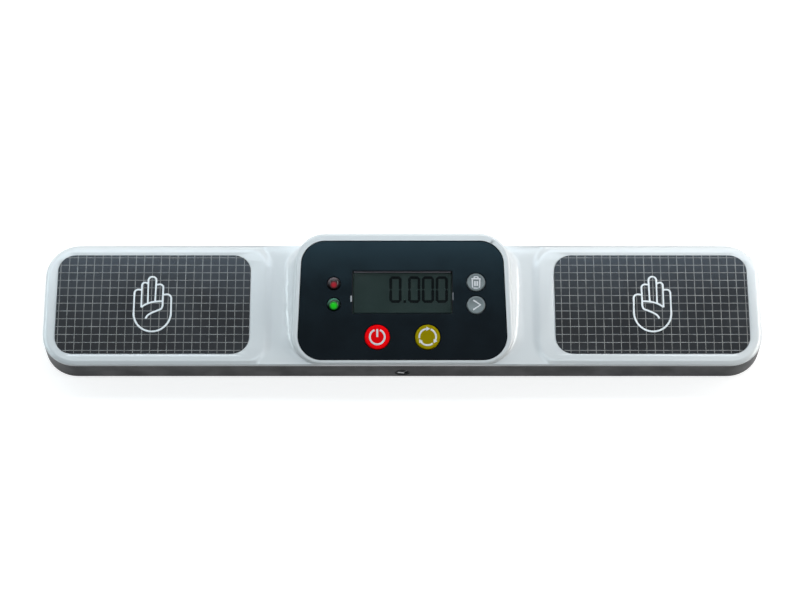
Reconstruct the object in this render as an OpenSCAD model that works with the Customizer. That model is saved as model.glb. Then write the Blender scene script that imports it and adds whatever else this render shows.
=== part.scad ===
// Speed cube timer: a long low bar with a hand pad on each wing and a tilted console
// between them. Origin: middle of the footprint on the table. +X runs along the bar,
// -Y faces the user, +Z is up. Millimetres.

/* [Body] */
// Length of the bar
body_l = 287; // [283:1:320]
// Depth of the bar, front to rear
body_w = 52; // [52:0.5:56]
// Height of the pad plateaus above the table
wing_h = 14.4; // [14:0.1:14.8]
// Plan radius of the four corners of the bar
corner_r = 13.5; // [11:0.5:15]
// Radius of the rounded top edge, which starts at the parting line
edge_r = 2.3; // [2.2:0.1:2.6]
// Radius of the bottom edge
bottom_r = 0.6; // [0.4:0.1:1.2]
// Wall of the two housing halves
wall = 1.5; // [1.3:0.1:1.7]
// Thickness of the bottom
floor_t = 1.6; // [1.4:0.1:1.8]
// Depth of the joint between the housing halves
lip_h = 1; // [0.6:0.1:1.5]

/* [Plateaus] */
// Step from a plateau down to the neck beside the console
neck_drop = 1; // [0.7:0.1:1.2]
// Width of the neck between the console's foot and the top of the step
neck_w = 6; // [5:0.1:7]
// Width of the step's S-shaped ramp
ramp_w = 4.4; // [3:0.1:5]
// Plan radius of the plateau's inner corners
plateau_r = 9.5; // [6:0.5:12]

/* [Console] */
// Slope of the console towards the user, in degrees
tilt = 15; // [13:0.5:17]
// Clearance from the battery bay up to the circuit board, which sets the console's height
board_room = 0.28; // [0.1:0.02:0.8]
// Width of the white rim around the display panel
rim_w = 2.5; // [2.2:0.1:3]
// Rounding of the rim
rim_r = 1.2; // [0.8:0.1:1.4]
// How far the foot of the console's side spreads past its rim
sweep_w = 5.2; // [4:0.1:6]
// Plan radius of the corners at the console's foot
foot_r = 11; // [8:0.5:14]

/* [Display panel] */
// Width of the panel along its front edge
panel_front_w = 84; // [83:0.5:86]
// How much narrower the panel is along its rear edge
panel_narrow = 4; // [2.5:0.5:5]
// Depth of the bar less the length of the panel up the slope
panel_margin = 4.2; // [3.5:0.1:5]
// How much wider the rim is behind the panel than beside it, and narrower in front
panel_shift = 0.5; // [0.2:0.1:0.8]
// Corner radius of the panel
panel_r = 9.6; // [8:0.1:11]
// Thickness of the panel
panel_t = 1.5; // [1.2:0.1:1.7]
// Depth of the panel's face below the rim
panel_sink = 0.35; // [0.2:0.05:0.5]
// Width of the ledge that the panel lies on
ledge_w = 2; // [1.5:0.1:2.4]
// Thickness of that ledge
ledge_t = 1.5; // [1.2:0.1:2]

/* [Display] */
// Distance from the display glass to the side of the panel
lcd_side = 21.5; // [20:0.1:23]
// Height of the display glass
lcd_h = 16.3; // [15.5:0.1:17.5]
// Place of the display up the slope from the panel's middle
lcd_v = 3.3; // [2.5:0.1:4]
// Height of a digit
digit_h = 10.4; // [8:0.1:11]
// Width of a digit
digit_w = 4.6; // [4:0.1:5]
// Distance from one digit to the next
digit_pitch = 5.5; // [5.2:0.1:6]

/* [Buttons and lamps] */
// Diameter of the two large buttons
big_button_d = 9.8; // [9:0.1:11]
// Diameter of the two small buttons
small_button_d = 7.1; // [6.5:0.1:7.8]
// Stroke of every button
button_stroke = 0.4; // [0.2:0.05:0.5]
// Height of the buttons above the panel
button_proud = 0.45; // [0.2:0.05:0.8]
// Gap round a button in its hole
button_gap = 0.25; // [0.15:0.05:0.4]
// Diameter of the two lamps
lamp_d = 5; // [3:0.5:5]
// Height of a lamp's dome above the panel
lamp_proud = 1.9; // [1.2:0.1:2.2]

/* [Hand pads] */
// Margin between a pad and the top of the step
pad_inner = 5.3; // [5:0.1:9]
// Margin between a pad and the front or rear of the bar
pad_side = 4.7; // [4.5:0.05:6]
// Corner radius of a hand pad
pad_r = 7; // [5:0.5:9]
// Margin between a pad and the end of the bar
pad_margin = 5.1; // [4.5:0.1:6]
// Thickness of a hand pad
pad_t = 1.2; // [1:0.1:1.4]
// Height of a pad above its plateau
pad_proud = 0.3; // [0.1:0.05:0.4]
// Margin between the ends of a pad and of the sensor plate under it
plate_end = 3.55; // [3:0.05:6]
// Margin between the sides of a pad and of that plate
plate_side = 3.45; // [3:0.05:6]

/* [Batteries] */
// Diameter of a battery cell
cell_d = 10.5; // [10.1:0.1:10.5]
// Length of a battery cell with its button
cell_l = 44.5; // [43.5:0.1:44.5]
// Free length of a cell spring as it sits in the bay
spring_l = 4.2; // [3.5:0.1:5]
// Turns of a cell spring
spring_turns = 3; // [2:1:3]

/* [Data jack] */
// Bore of the data jack
jack_bore_d = 3.6; // [3.55:0.05:3.7]
// Width of the jack's block
jack_w = 6.4; // [6:0.1:8]
// Height of the jack's block
jack_h = 5.6; // [5.2:0.1:5.8]
// Length of the jack's block
jack_l = 12; // [10:0.5:14]

/* [Feet and screws] */
// Diameter of a rubber foot
foot_d = 10; // [8:0.5:12]
// Gap between the bottom and the table
foot_h = 0.7; // [0.5:0.1:1]
// Shank diameter of the housing screws
screw_d = 2; // [1.8:0.1:2.2]
// Distance from the tips of the housing screws up to the parting line
screw_short = 0.6; // [0.5:0.1:1.5]
// Shank diameter of the circuit board screws
board_screw_d = 1.6; // [1.4:0.1:1.8]

/* [Hidden] */
$fn = 64;

fit = 0.15;                                   // clearance of pieces that drop in
eps = 0.02;                                   // sink of one solid into its neighbour
root = 0.4;                                   // sink of ribs and bosses into the top shell
part_z = wing_h - edge_r;                     // height of the parting line
neck_h = wing_h - neck_drop;                  // height of the necks
floor_z = foot_h + floor_t;                   // top of the bottom

// Console: u runs right, v up the slope, and depth is measured below the rim's plane
panel_len = body_w - panel_margin;
panel_rear_w = panel_front_w - panel_narrow;
console_len = panel_len + 2 * rim_w;
taper = panel_narrow / 2 / panel_len;
panel_mid = (panel_front_w + panel_rear_w) / 4;
console_y = rim_r + (console_len / 2 - panel_shift - rim_r) * cos(tilt) - rim_r * sin(tilt)
    - body_w / 2;
ledge_depth = panel_sink + panel_t;
roof_depth = ledge_depth + ledge_t;
plateau_x = half_w(-body_w / 2, rim_w + sweep_w) + neck_w;

// Display stack, each layer below the one before
lcd_w = 2 * (panel_mid - lcd_side);
glass_t = 1;
glass_depth = panel_sink + 0.5;
segment_t = 0.1;
segment_depth = glass_depth + glass_t;
rear_glass_depth = segment_depth + segment_t;
zebra_depth = rear_glass_depth + glass_t;
board_depth = max(5, zebra_depth + 1);
board_t = 1.2;
board_l = panel_rear_w - 2.5;
board_w = panel_len - 5;
board_boss_d = 5;
boss_reach = (panel_r - ledge_w - 1.8) * sqrt(1 / 2);
board_bosses = [for (x = [-1, 1], e = [[panel_front_w, -1], [panel_rear_w, 1]])
    [x * (e[0] / 2 - panel_r + boss_reach), e[1] * (panel_len / 2 - panel_r + boss_reach)]];

// Buttons: [u, v, diameter]
flange_t = 0.6;
flange_w = 0.75;
big_button_u = 10;
big_button_v = 9.15 - panel_len / 2;
small_button_u = panel_mid - 11.7;
small_button_pitch = small_button_d + 2 * flange_w + 0.5;
power_place = [-big_button_u, big_button_v, big_button_d];
reset_place = [big_button_u, big_button_v, big_button_d];
delete_place = [small_button_u, 7.2, small_button_d];
next_place = [small_button_u, 7.2 - small_button_pitch, small_button_d];
button_places = [power_place, reset_place, delete_place, next_place];
flange_depth = ledge_depth + 0.1;
plunger_depth = flange_depth + flange_t;
switch_depth = plunger_depth + button_stroke + 0.25;
switch_w = 6;
plunger_d = 3.2;
plunger_in = 0.5;                             // how far a plunger is in its switch at rest

// Lamps
lamp_u = 13.7 - panel_mid;
lamp_places = [[lamp_u, 6.8], [lamp_u, -1.6]];
lamp_pin_gap = 1.27;
lamp_pin_d = 0.5;
lamp_pin_out = 0.8 * board_room;              // length of a pin below the board

// Hand pads
pad_l = body_l / 2 - pad_margin - plateau_x - pad_inner;
pad_w = body_w - 2 * pad_side;
plate_l = pad_l - 2 * plate_end;
plate_w = pad_w - 2 * plate_side;
pad_x = body_l / 2 - pad_margin - pad_l / 2;
pad_floor = wing_h + pad_proud - pad_t;
wing_roof = pad_floor - 1.2;
plate_t = 0.8;

// Battery bay and its door
bay_wall = 1.2;
contact_t = 0.4;
bay_l = cell_l + spring_l + 2 * contact_t + 0.5;
bay_w = 2 * cell_d + 1;
bay_rear = body_w / 2 - wall - 2;
bay_front = bay_rear - bay_w;
door_skin_t = 0.8;
tongue_t = 0.85;
tongue_w = 1.4;
slide_gap = 0.1;
rail_z = foot_h + door_skin_t + slide_gap + tongue_t + slide_gap;
cell_z = rail_z + 0.15 + cell_d / 2;
bay_top = cell_z + cell_d / 2 + 0.15;
bay_roof_t = 0.8;
door_half = bay_l / 2 - 0.6;
rail_half = door_half + tongue_w + 1.6;       // outer face of the door's rails
cell_places = [bay_front + 0.25 + cell_d / 2, bay_rear - 0.25 - cell_d / 2];

// Height of the console: its circuit board clears the front corner of the battery bay
board_under = (board_depth + board_t) / cos(tilt);
console_z = bay_top + bay_roof_t + board_room + board_under
    - (bay_front - bay_wall - console_y) * tan(tilt);

// Data jack
jack_z = floor_z + jack_h / 2;
jack_front = body_w / 2 - wall;
jack_nose_d = 5.6;
jack_sleeve_d = jack_bore_d + 1.2;

// Screws and feet
screw_seat = floor_z + 0.4;
screw_l = part_z - screw_short - screw_seat;
screw_head_d = 4;
screw_head_t = 1.5;
post_top = screw_seat + screw_l / 2 + 0.2;
post_d = 6;
boss_d = 4.8;
end_screw_x = body_l / 2 - wall - 3.1;
end_screw_y = 14;
neck_screw_x = plateau_x + 2.9;
neck_screw_y = body_w / 2 - wall - 4.4;
screw_places = [for (x = [-1, 1], y = [-1, 1], p = [[end_screw_x, end_screw_y],
    [neck_screw_x, neck_screw_y]]) [x * p[0], y * p[1]]];
foot_sink = 0.5;
foot_places = [for (x = [-1, 1], y = [-1, 1]) [x * (body_l / 2 - 19), y * (body_w / 2 - 9.5)]];

// ---- plan outlines ----

module round_rect(l, w, r) {
    square([l - 2 * r, w], center = true);
    square([l, w - 2 * r], center = true);
    for (x = [-1, 1], y = [-1, 1]) translate([x * (l / 2 - r), y * (w / 2 - r)]) circle(r);
}

// Half width of the panel at v, with an even margin g outside its edge
function half_w(v, g = 0) = panel_mid - taper * v + g * sqrt(1 + taper * taper);

// Panel outline grown by g, as tangent points joined to four corner circles
module panel_outline(g = 0) {
    r = panel_r + g;
    v = panel_len / 2 - panel_r;
    slant = atan(taper);
    xf = half_w(-v, g) - r / cos(slant);
    xr = half_w(v, g) - r / cos(slant);
    side = r * [cos(slant), sin(slant)];
    right = [[xf, -v - r], [xf, -v] + side, [xr, v] + side, [xr, v + r]];
    polygon(concat(right, [for (i = [3:-1:0]) [-right[i][0], right[i][1]]]));
    for (s = [-1, 1]) {
        translate([s * xf, -v]) circle(r);
        translate([s * xr, v]) circle(r);
    }
}

// ---- rounded plates ----

// Half section of a plate's edge: r deep, h high, with its top corner rounded by e
module edge_section(r, h, e) {
    difference() {
        square([r, h]);
        translate([r - e, h - e]) difference() {
            square(2 * e);
            circle(e);
        }
    }
}

// Carries a section round a rectangle of corner centres l by w
module around(l, w) {
    for (s = [0, 180]) rotate(s) {
        translate([l / 2, 0, 0]) rotate([90, 0, 0]) linear_extrude(w, center = true) children();
        translate([0, w / 2, 0]) rotate([90, 0, 90]) linear_extrude(l, center = true) children();
        translate([l / 2, w / 2, 0]) rotate_extrude(angle = 90) children();
        translate([-l / 2, w / 2, 0]) rotate([0, 0, 90]) rotate_extrude(angle = 90) children();
    }
}

module edged_plate(l, w, r, h, e) {
    around(l - 2 * r, w - 2 * r) edge_section(r, h, e);
    translate([r - l / 2, r - w / 2, 0]) cube([l - 2 * r, w - 2 * r, h]);
}

// Solid through a stack of loops with as many points each
module skin(loops) {
    n = len(loops[0]);
    last = len(loops) - 1;
    polyhedron(points = [for (ring = loops) each ring],
        faces = concat([[for (i = [0:n - 1]) i]],
            [for (k = [0:last - 1], i = [0:n - 1], half = [0, 1])
                let (j = (i + 1) % n, a = k * n, b = a + n)
                half == 0 ? [a + j, a + i, b + i] : [a + j, b + i, b + j]],
            [[for (i = [n - 1:-1:0]) last * n + i]]));
}

// A round wire through the given points; across is never along the wire
wire_sides = 8;
module wire(points, d, across = [0, 1, 0]) {
    last = len(points) - 1;
    skin([for (i = [0:last])
        let (along = points[min(last, i + 1)] - points[max(0, i - 1)],
            out = cross(across, along) / norm(cross(across, along)),
            side = cross(along, out) / norm(along))
        [for (k = [0:wire_sides - 1]) let (a = 360 * k / wire_sides)
            points[i] + d / 2 * (cos(a) * out + sin(a) * side)]]);
}

// ---- console ----

// Places children on the console's slope, with their top face at the given depth
module on_slope(depth = 0) {
    translate([0, console_y, console_z]) rotate([tilt, 0, 0]) translate([0, 0, -depth]) children();
}

module below_slope(depth, t) {
    on_slope(depth + t) linear_extrude(t) children();
}

// Straight down from the slope, along its normal
slope_down = [0, sin(tilt), -cos(tilt)];
function slope_point(p, depth) = [p[0], console_y + p[1] * cos(tilt) + depth * sin(tilt),
    console_z + p[1] * sin(tilt) - depth * cos(tilt)];

// Plan loop with rounded corners: half widths a and b at the ends y0 and y1
corner_steps = 10;
side_steps = 6;
function loop(a, b, y0, y1, r) =
    let (k = (a - b) / (y1 - y0), s = atan(k), grow = r / cos(s),
        p = [a - k * r - grow, y0 + r], q = [b + k * r - grow, y1 - r],
        arc = function (c, from, to) [for (i = [0:corner_steps])
            c + r * [cos(from + (to - from) * i / corner_steps),
                sin(from + (to - from) * i / corner_steps)]],
        low = arc(p, -90, s), high = arc(q, s, 90),
        side = [for (i = [1:side_steps - 1])
            low[corner_steps] + (high[0] - low[corner_steps]) * i / side_steps],
        right = concat(low, side, high))
    concat(right, [for (i = [len(right) - 1:-1:0]) [-right[i][0], right[i][1]]]);

// Rim loop on the slope, drawn in by an inset
function rim_loop(inset, depth) =
    let (v = console_len / 2 - inset, g = rim_w - inset, low = panel_shift - v, high = panel_shift + v)
    [for (p = loop(half_w(low, g), half_w(high, g), low, high, panel_r + g)) slope_point(p, depth)];

// Top of the neck: flat, then down the rounded edge
function neck_top(y) =
    let (d = max(0, abs(y) - body_w / 2 + edge_r))
    min(neck_h, part_z + sqrt(max(0, edge_r * edge_r - d * d)));

// Outside of the console: foot, concave sweep, rounded rim and top
module console_form() {
    rim = rim_loop(0, rim_r);
    v = body_w / 2;
    plan = loop(half_w(-v, rim_w + sweep_w), half_w(v, rim_w + sweep_w), -v, v, foot_r);
    foot = [for (p = plan) [p[0], p[1], neck_top(p[1]) - eps]];
    sweep_steps = 6;
    sweep = [for (i = [1:sweep_steps - 1])
        let (a = 90 * i / sweep_steps, out = sin(a), up = 1 - cos(a))
        [for (j = [0:len(foot) - 1]) let (d = rim[j] - foot[j])
            foot[j] + [d[0] * out, d[1] * out, d[2] * up]]];
    round_steps = 4;
    top = [for (i = [1:round_steps])
        let (a = 90 * i / round_steps) rim_loop(rim_r * (1 - cos(a)), rim_r * (1 - sin(a)))];
    intersection() {
        skin(concat([[for (p = plan) [p[0], p[1], part_z - 2]]], [foot], sweep, [rim], top));
        translate([-body_l / 2, -body_w, part_z]) cube([body_l, 2 * body_w, 50]);
    }
}

// Room inside the console, one wall in from the outside
module console_room() {
    v = body_w / 2 - wall;
    plan = loop(half_w(-v, rim_w), half_w(v, rim_w), -v, v, panel_r);
    room_z = part_z - lip_h - 0.5;
    top = [for (p = loop(half_w(1 - v, rim_w - wall - 0.8), half_w(v - 1, rim_w - wall - 0.8),
        1 - v, v - 1, panel_r - wall)) slope_point(p, roof_depth)];
    skin([[for (p = plan) [p[0], p[1], room_z - 2]], [for (p = plan) [p[0], p[1], room_z]], top]);
}

// ---- plateaus ----

// Half section of the S-shaped ramp: two equal arcs that meet half way down
module ramp_section() {
    turn = 2 * atan(neck_drop / ramp_w);
    r = ramp_w / 2 / sin(turn);
    difference() {
        square([plateau_r + ramp_w, neck_drop]);
        translate([plateau_r, neck_drop - r]) difference() {
            square([ramp_w / 2, 2 * r]);
            circle(r);
        }
        translate([plateau_r + ramp_w / 2, neck_drop / 2]) square(ramp_w);
        translate([plateau_r + ramp_w, r]) circle(r);
    }
}

module plateau_mask() {
    reach = body_l / 2 - plateau_x;
    side = body_w - 2 - 2 * plateau_r;
    translate([plateau_x + plateau_r + reach / 2, 0, neck_h]) {
        around(reach, side) ramp_section();
        translate([-reach / 2, -side / 2, 0]) cube([reach, side, neck_drop]);
    }
}

// ---- housing ----

module bar_outline(inset) {
    round_rect(body_l - 2 * inset, body_w - 2 * inset, corner_r - inset);
}

module bar_top() {
    intersection() {
        translate([0, 0, part_z]) edged_plate(body_l, body_w, corner_r, edge_r, edge_r);
        union() {
            translate([-body_l / 2, -body_w / 2, part_z]) cube([body_l, body_w, neck_h - part_z]);
            plateau_mask();
            mirror([1, 0, 0]) plateau_mask();
        }
    }
}

module bar_room() {
    low = part_z - lip_h - 1;
    translate([0, 0, low]) linear_extrude(neck_h - wall - low) bar_outline(wall);
    for (s = [-1, 1]) translate([0, 0, low]) linear_extrude(wing_roof - low) intersection() {
        bar_outline(wall);
        translate([s * (plateau_x + 2 + body_l / 2), 0]) square([body_l, body_w], center = true);
    }
}

// Skirt of the top shell that drops inside the bottom cover
module housing_lip(g, t) {
    linear_extrude(t) difference() {
        bar_outline(wall / 2 - g);
        bar_outline(wall + g);
    }
}

module plate_ribs(s) {
    rib_h = 1.4;
    rib_t = 0.8;
    translate([s * pad_x, 0, wing_roof - rib_h]) linear_extrude(rib_h + root) difference() {
        square([plate_l + 2 * fit + 2 * rib_t, plate_w + 2 * fit + 2 * rib_t], center = true);
        square([plate_l + 2 * fit, plate_w + 2 * fit], center = true);
        square([plate_l - 12, plate_w + 10], center = true);
        square([plate_l + 10, plate_w - 12], center = true);
    }
}

module top_shell() {
    color("#e3e8ea") difference() {
        union() {
            difference() {
                union() {
                    bar_top();
                    console_form();
                }
                bar_room();
                console_room();
            }
            translate([0, 0, part_z - lip_h]) housing_lip(-0.02, lip_h + 0.2);
            for (p = screw_places) translate([p[0], p[1], post_top + fit])
                cylinder(h = wing_roof + root - post_top - fit, d = boss_d);
            for (s = [-1, 1]) plate_ribs(s);
            for (p = board_bosses) on_slope(board_depth) translate([p[0], p[1], 0])
                cylinder(h = board_depth - ledge_depth, d = board_boss_d);
        }
        below_slope(-5, 5 + ledge_depth) panel_outline(fit);
        below_slope(ledge_depth - eps, ledge_t + 2 * eps + 0.3) difference() {
            panel_outline(-ledge_w);
            for (p = board_bosses) translate(p) circle(d = board_boss_d);
        }
        for (p = board_bosses) on_slope(board_depth + 1) translate([p[0], p[1], 0])
            cylinder(h = board_depth - ledge_depth, d = board_screw_d + 0.1);
        for (p = screw_places) translate([p[0], p[1], post_top])
            cylinder(h = screw_seat + screw_l + 0.5 - post_top, d = screw_d + 0.1);
        for (s = [-1, 1]) translate([s * pad_x, 0, pad_floor])
            linear_extrude(wing_h) round_rect(pad_l + 2 * fit, pad_w + 2 * fit, pad_r + fit);
    }
}

module bar_bottom() {
    translate([0, 0, part_z]) mirror([0, 0, 1])
        edged_plate(body_l, body_w, corner_r, part_z - foot_h, bottom_r);
}

// Rails, end stop and skin opening of the battery door, as one cut
module door_way(gap) {
    rear = body_w / 2 + 5;
    half = door_half + gap;
    front = bay_front + gap / 2;
    translate([-half, front - gap, foot_h - 1])
        cube([2 * half, rear - front, 1 + door_skin_t + slide_gap + tongue_t + gap]);
    translate([-half - tongue_w, front - 1 - gap, foot_h + door_skin_t + slide_gap - gap])
        cube([2 * (half + tongue_w), rear - front + 1, tongue_t + 2 * gap]);
}

module battery_bay() {
    low = floor_z - eps;
    top = bay_top + bay_roof_t;
    half = bay_l / 2 + bay_wall;
    translate([-half, bay_front - bay_wall, low]) cube([2 * half, bay_w + 2 * bay_wall, top - low]);
    translate([-half, bay_rear, low]) cube([2 * half, body_w / 2 - wall - bay_rear + eps,
        part_z - lip_h - 0.5 - low]);
    translate([-rail_half, bay_front - 2.6, low])
        cube([2 * rail_half, body_w / 2 - wall - bay_front + 2.6 + eps, rail_z + 1.2 - low]);
}

// Low ribs on the floor of each wing: four across and one along
module floor_ribs() {
    rib_h = 2.2;
    rib_t = 1;
    first_x = plateau_x + 7;
    pitch = (body_l / 2 - 17.5 - first_x) / 3;
    run = body_l / 2 - wall - rail_half;
    for (s = [-1, 1]) translate([0, 0, floor_z - eps]) {
        for (i = [0:3]) translate([s * (first_x + i * pitch) - rib_t / 2, wall - body_w / 2, 0])
            cube([rib_t, body_w - 2 * wall, rib_h]);
        translate([s * (rail_half + run / 2), 0, rib_h / 2]) cube([run, rib_t, rib_h], center = true);
    }
}

// Two cheeks and an end stop that hold the jack's block
module jack_cradle() {
    cheek = 1.2;
    h = jack_h * 0.6;
    inner = jack_w / 2 + fit;
    translate([0, -jack_front, floor_z - eps]) {
        for (x = [-inner - cheek, inner]) translate([x, 0, 0]) cube([cheek, jack_l, h]);
        translate([-inner - cheek, jack_l + fit, 0]) cube([2 * (inner + cheek), cheek, h]);
    }
}

module bottom_cover() {
    color("#3f4246") difference() {
        union() {
            difference() {
                bar_bottom();
                translate([0, 0, floor_z]) linear_extrude(part_z) bar_outline(wall);
                translate([0, 0, part_z - lip_h - fit]) housing_lip(fit, lip_h + 1);
            }
            battery_bay();
            floor_ribs();
            jack_cradle();
            for (p = screw_places) translate([p[0], p[1], floor_z - eps])
                cylinder(h = post_top - floor_z + eps, d = post_d);
        }
        translate([-bay_l / 2, bay_front, rail_z - 0.3]) cube([bay_l, bay_w, bay_top - rail_z + 0.3]);
        door_way(0.1);
        contact_slots();
        for (p = screw_places) translate([p[0], p[1], foot_h - 1]) {
            cylinder(h = screw_seat - foot_h + 1, d = screw_head_d + 0.6);
            cylinder(h = 20, d = screw_d + 0.4);
        }
        for (p = foot_places) translate([p[0], p[1], foot_h - 1])
            cylinder(h = 1 + foot_sink, d = foot_d + 0.2);
        on_jack(-1) cylinder(h = 1.3 + wall, d = jack_nose_d + 0.4);
    }
}

// Thumb ridges pressed into the door's skin near the rear edge
module thumb_grip() {
    for (i = [0:4]) translate([-6 + i * 0.9, body_w / 2 - 9 + i * 1.4, foot_h - 1])
        cube([12 - i * 1.8, 0.6, 1.35]);
}

module battery_door() {
    color("#3a3d41") difference() {
        intersection() {
            bar_bottom();
            door_way(-0.1);
        }
        thumb_grip();
    }
}

module rubber_feet() {
    r = foot_d / 2;
    h = foot_h + foot_sink;
    bevel = 0.4;
    color("#17181a") for (p = foot_places) translate([p[0], p[1], 0])
        rotate_extrude() polygon([[0, 0], [r - bevel, 0], [r, bevel], [r, h], [0, h]]);
}

module cross_recess(w, t) {
    for (a = [0, 90]) rotate(a) translate([-w / 2, -w / 8, -1]) cube([w, w / 4, 1 + t]);
}

module housing_screws() {
    color("#b9bcc0") for (p = screw_places) translate([p[0], p[1], screw_seat]) difference() {
        union() {
            translate([0, 0, -screw_head_t])
                cylinder(h = screw_head_t, d1 = screw_head_d - 0.8, d2 = screw_head_d);
            cylinder(h = screw_l, d = screw_d);
        }
        translate([0, 0, -screw_head_t]) cross_recess(2.4, 0.8);
    }
}

// ---- display panel and what it shows ----

module front_panel() {
    color("#14171b") difference() {
        below_slope(panel_sink, panel_t) panel_outline();
        below_slope(panel_sink - 1, panel_t + 2) {
            translate([0, lcd_v]) square([lcd_w + 0.8, lcd_h + 0.8], center = true);
            for (p = button_places) translate([p[0], p[1]]) circle(d = p[2] + 2 * button_gap);
            for (p = lamp_places) translate(p) circle(d = lamp_d + 0.3);
        }
    }
}

module lcd_front_glass() {
    color("#39433f") below_slope(glass_depth, glass_t)
        translate([0, lcd_v]) square([lcd_w, lcd_h], center = true);
}

module lcd_rear_glass() {
    color("#2f3835") below_slope(rear_glass_depth, glass_t)
        translate([0, lcd_v]) square([lcd_w, lcd_h], center = true);
}

// One bar of a seven-segment digit, lying along x with pointed ends
module segment_bar(l, t) {
    polygon([[-l / 2, 0], [-l / 2 + t / 2, t / 2], [l / 2 - t / 2, t / 2],
        [l / 2, 0], [l / 2 - t / 2, -t / 2], [-l / 2 + t / 2, -t / 2]]);
}

module digit_zero() {
    t = 0.8;
    gap = 0.12;
    for (y = [-1, 1]) {
        translate([0, y * (digit_h - t) / 2]) segment_bar(digit_w - t - 2 * gap, t);
        for (x = [-1, 1]) translate([x * (digit_w - t) / 2, y * (digit_h - t) / 4]) rotate(90)
            segment_bar((digit_h - t) / 2 - 2 * gap, t);
    }
}

// Places of the digits and of the point, in digits to the left of the last one
digit_slots = [0, 1, 2, 3.36];
point_slot = 2.68;
point_w = 0.8;
last_digit_u = 15.7;
digit_v = 4.55;

module lcd_segments() {
    color("#0d0f10") below_slope(segment_depth, segment_t) {
        for (s = digit_slots) translate([last_digit_u - s * digit_pitch, digit_v]) digit_zero();
        translate([last_digit_u - point_slot * digit_pitch, digit_v - digit_h / 2 + point_w / 2])
            square(point_w, center = true);
    }
}

module lcd_frame() {
    frame_t = 1.6;
    room = [lcd_w + 0.4, lcd_h + 0.4];
    clip = [0.2, 2.2];
    color("#d8d4c4") {
        below_slope(rear_glass_depth + 0.05, board_depth - rear_glass_depth - 0.05)
            translate([0, lcd_v]) difference() {
                square(room + 2 * [frame_t, frame_t], center = true);
                square(room, center = true);
            }
        for (s = [-1, 1]) below_slope(glass_depth + 0.1, rear_glass_depth - glass_depth)
            translate([s * (lcd_w / 2 + 0.24), s > 0 ? 1 : 0.1]) square(clip, center = true);
    }
}

module zebra_strips() {
    color("#c98a8a") for (s = [-1, 1]) below_slope(zebra_depth, board_depth - zebra_depth)
        translate([0, lcd_v + s * (lcd_h / 2 - 1.2)]) square([lcd_w - 2, 1.6], center = true);
}

module main_board() {
    color("#1f6b46") below_slope(board_depth, board_t) difference() {
        round_rect(board_l, board_w, 3);
        for (p = board_bosses) translate(p) circle(d = board_screw_d + 0.5);
        for (p = lamp_places, s = [-1, 1])
            translate([p[0] + s * lamp_pin_gap, p[1]]) circle(d = lamp_pin_d + 0.3);
    }
}

// Chip with eleven legs on each side
module timer_chip() {
    chip_w = 10;
    leg_w = 0.3;
    leg_pitch = 0.8;
    place = [-20, 11.9 - panel_len / 2];
    color("#1c1d1f") below_slope(board_depth + board_t + 0.15, 1.4)
        translate(place) square(chip_w, center = true);
    color("#c8cacd") below_slope(board_depth + board_t, 0.6)
        for (a = [0:90:270], i = [-5:5]) translate(place) rotate(a)
            translate([i * leg_pitch - leg_w / 2, chip_w / 2 - eps]) square([leg_w, 1]);
}

module crystal() {
    place = [-8.5, 10.9 - panel_len / 2];
    color("#c4c6c9") below_slope(board_depth + board_t, 3) translate(place) round_rect(8, 3.4, 1.6);
}

// A row of six small parts and two larger ones in front of it
module board_parts() {
    row_pitch = 3.2;
    row_v = 14.9 - panel_len / 2;
    pair_pitch = 8;
    color("#8a6f4e") below_slope(board_depth + board_t, 0.6)
        for (i = [0:5]) translate([11 + i * row_pitch, row_v]) square([1.2, 2], center = true);
    color("#b0b3b7") below_slope(board_depth + board_t, 1.1)
        for (i = [0, 1]) translate([16 + i * pair_pitch, row_v - 6]) square([3, 1.6], center = true);
}

// ---- buttons ----

module button_cap(p) {
    rise = button_proud + panel_t + 0.1;
    on_slope(plunger_depth) translate([p[0], p[1], 0]) {
        cylinder(h = flange_t, d = p[2] + 2 * flange_w);
        rotate_extrude() edge_section(p[2] / 2, flange_t + rise, 0.35);
    }
}

module button_plunger(p) {
    end_depth = switch_depth + plunger_in;
    on_slope(end_depth) translate([p[0], p[1], 0])
        cylinder(h = end_depth - plunger_depth, d = plunger_d);
}

module power_button() { color("#e8101c") button_cap(power_place); }
module reset_button() { color("#8f7f12") button_cap(reset_place); }
module delete_button() { color("#7c8085") button_cap(delete_place); }
module next_button() { color("#7c8085") button_cap(next_place); }
module power_plunger() { color("#202124") button_plunger(power_place); }
module reset_plunger() { color("#202124") button_plunger(reset_place); }
module delete_plunger() { color("#202124") button_plunger(delete_place); }
module next_plunger() { color("#202124") button_plunger(next_place); }

module switch_bodies() {
    color("#9b9da0") for (p = button_places) difference() {
        below_slope(switch_depth, board_depth - switch_depth)
            translate([p[0], p[1]]) square(switch_w, center = true);
        below_slope(switch_depth - 1, 1 + plunger_in + button_stroke + 0.3)
            translate([p[0], p[1]]) circle(d = plunger_d + 0.4);
    }
}

// ---- lamps ----

module lamp(p) {
    r = lamp_d / 2;
    low = board_depth - 0.8;
    centre = panel_sink - lamp_proud + r;
    on_slope(low) translate([p[0], p[1], 0]) {
        rotate_extrude() {
            square([r, low - centre]);
            square([r + 0.4, 1]);
            translate([0, low - centre]) intersection() {
                circle(r);
                square(r);
            }
        }
        pin_l = board_depth + board_t + lamp_pin_out - low;
        for (s = [-1, 1]) translate([s * lamp_pin_gap, 0, -pin_l])
            cylinder(h = pin_l + eps, d = lamp_pin_d);
    }
}

module red_led() { color("#7a1a24") lamp(lamp_places[0]); }
module green_led() { color("#12c61c") lamp(lamp_places[1]); }

// ---- hand pads ----

module touch_pad(s) {
    color("#2c2f31") translate([s * pad_x, 0, pad_floor]) edged_plate(pad_l, pad_w, pad_r, pad_t, 0.3);
}

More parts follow.
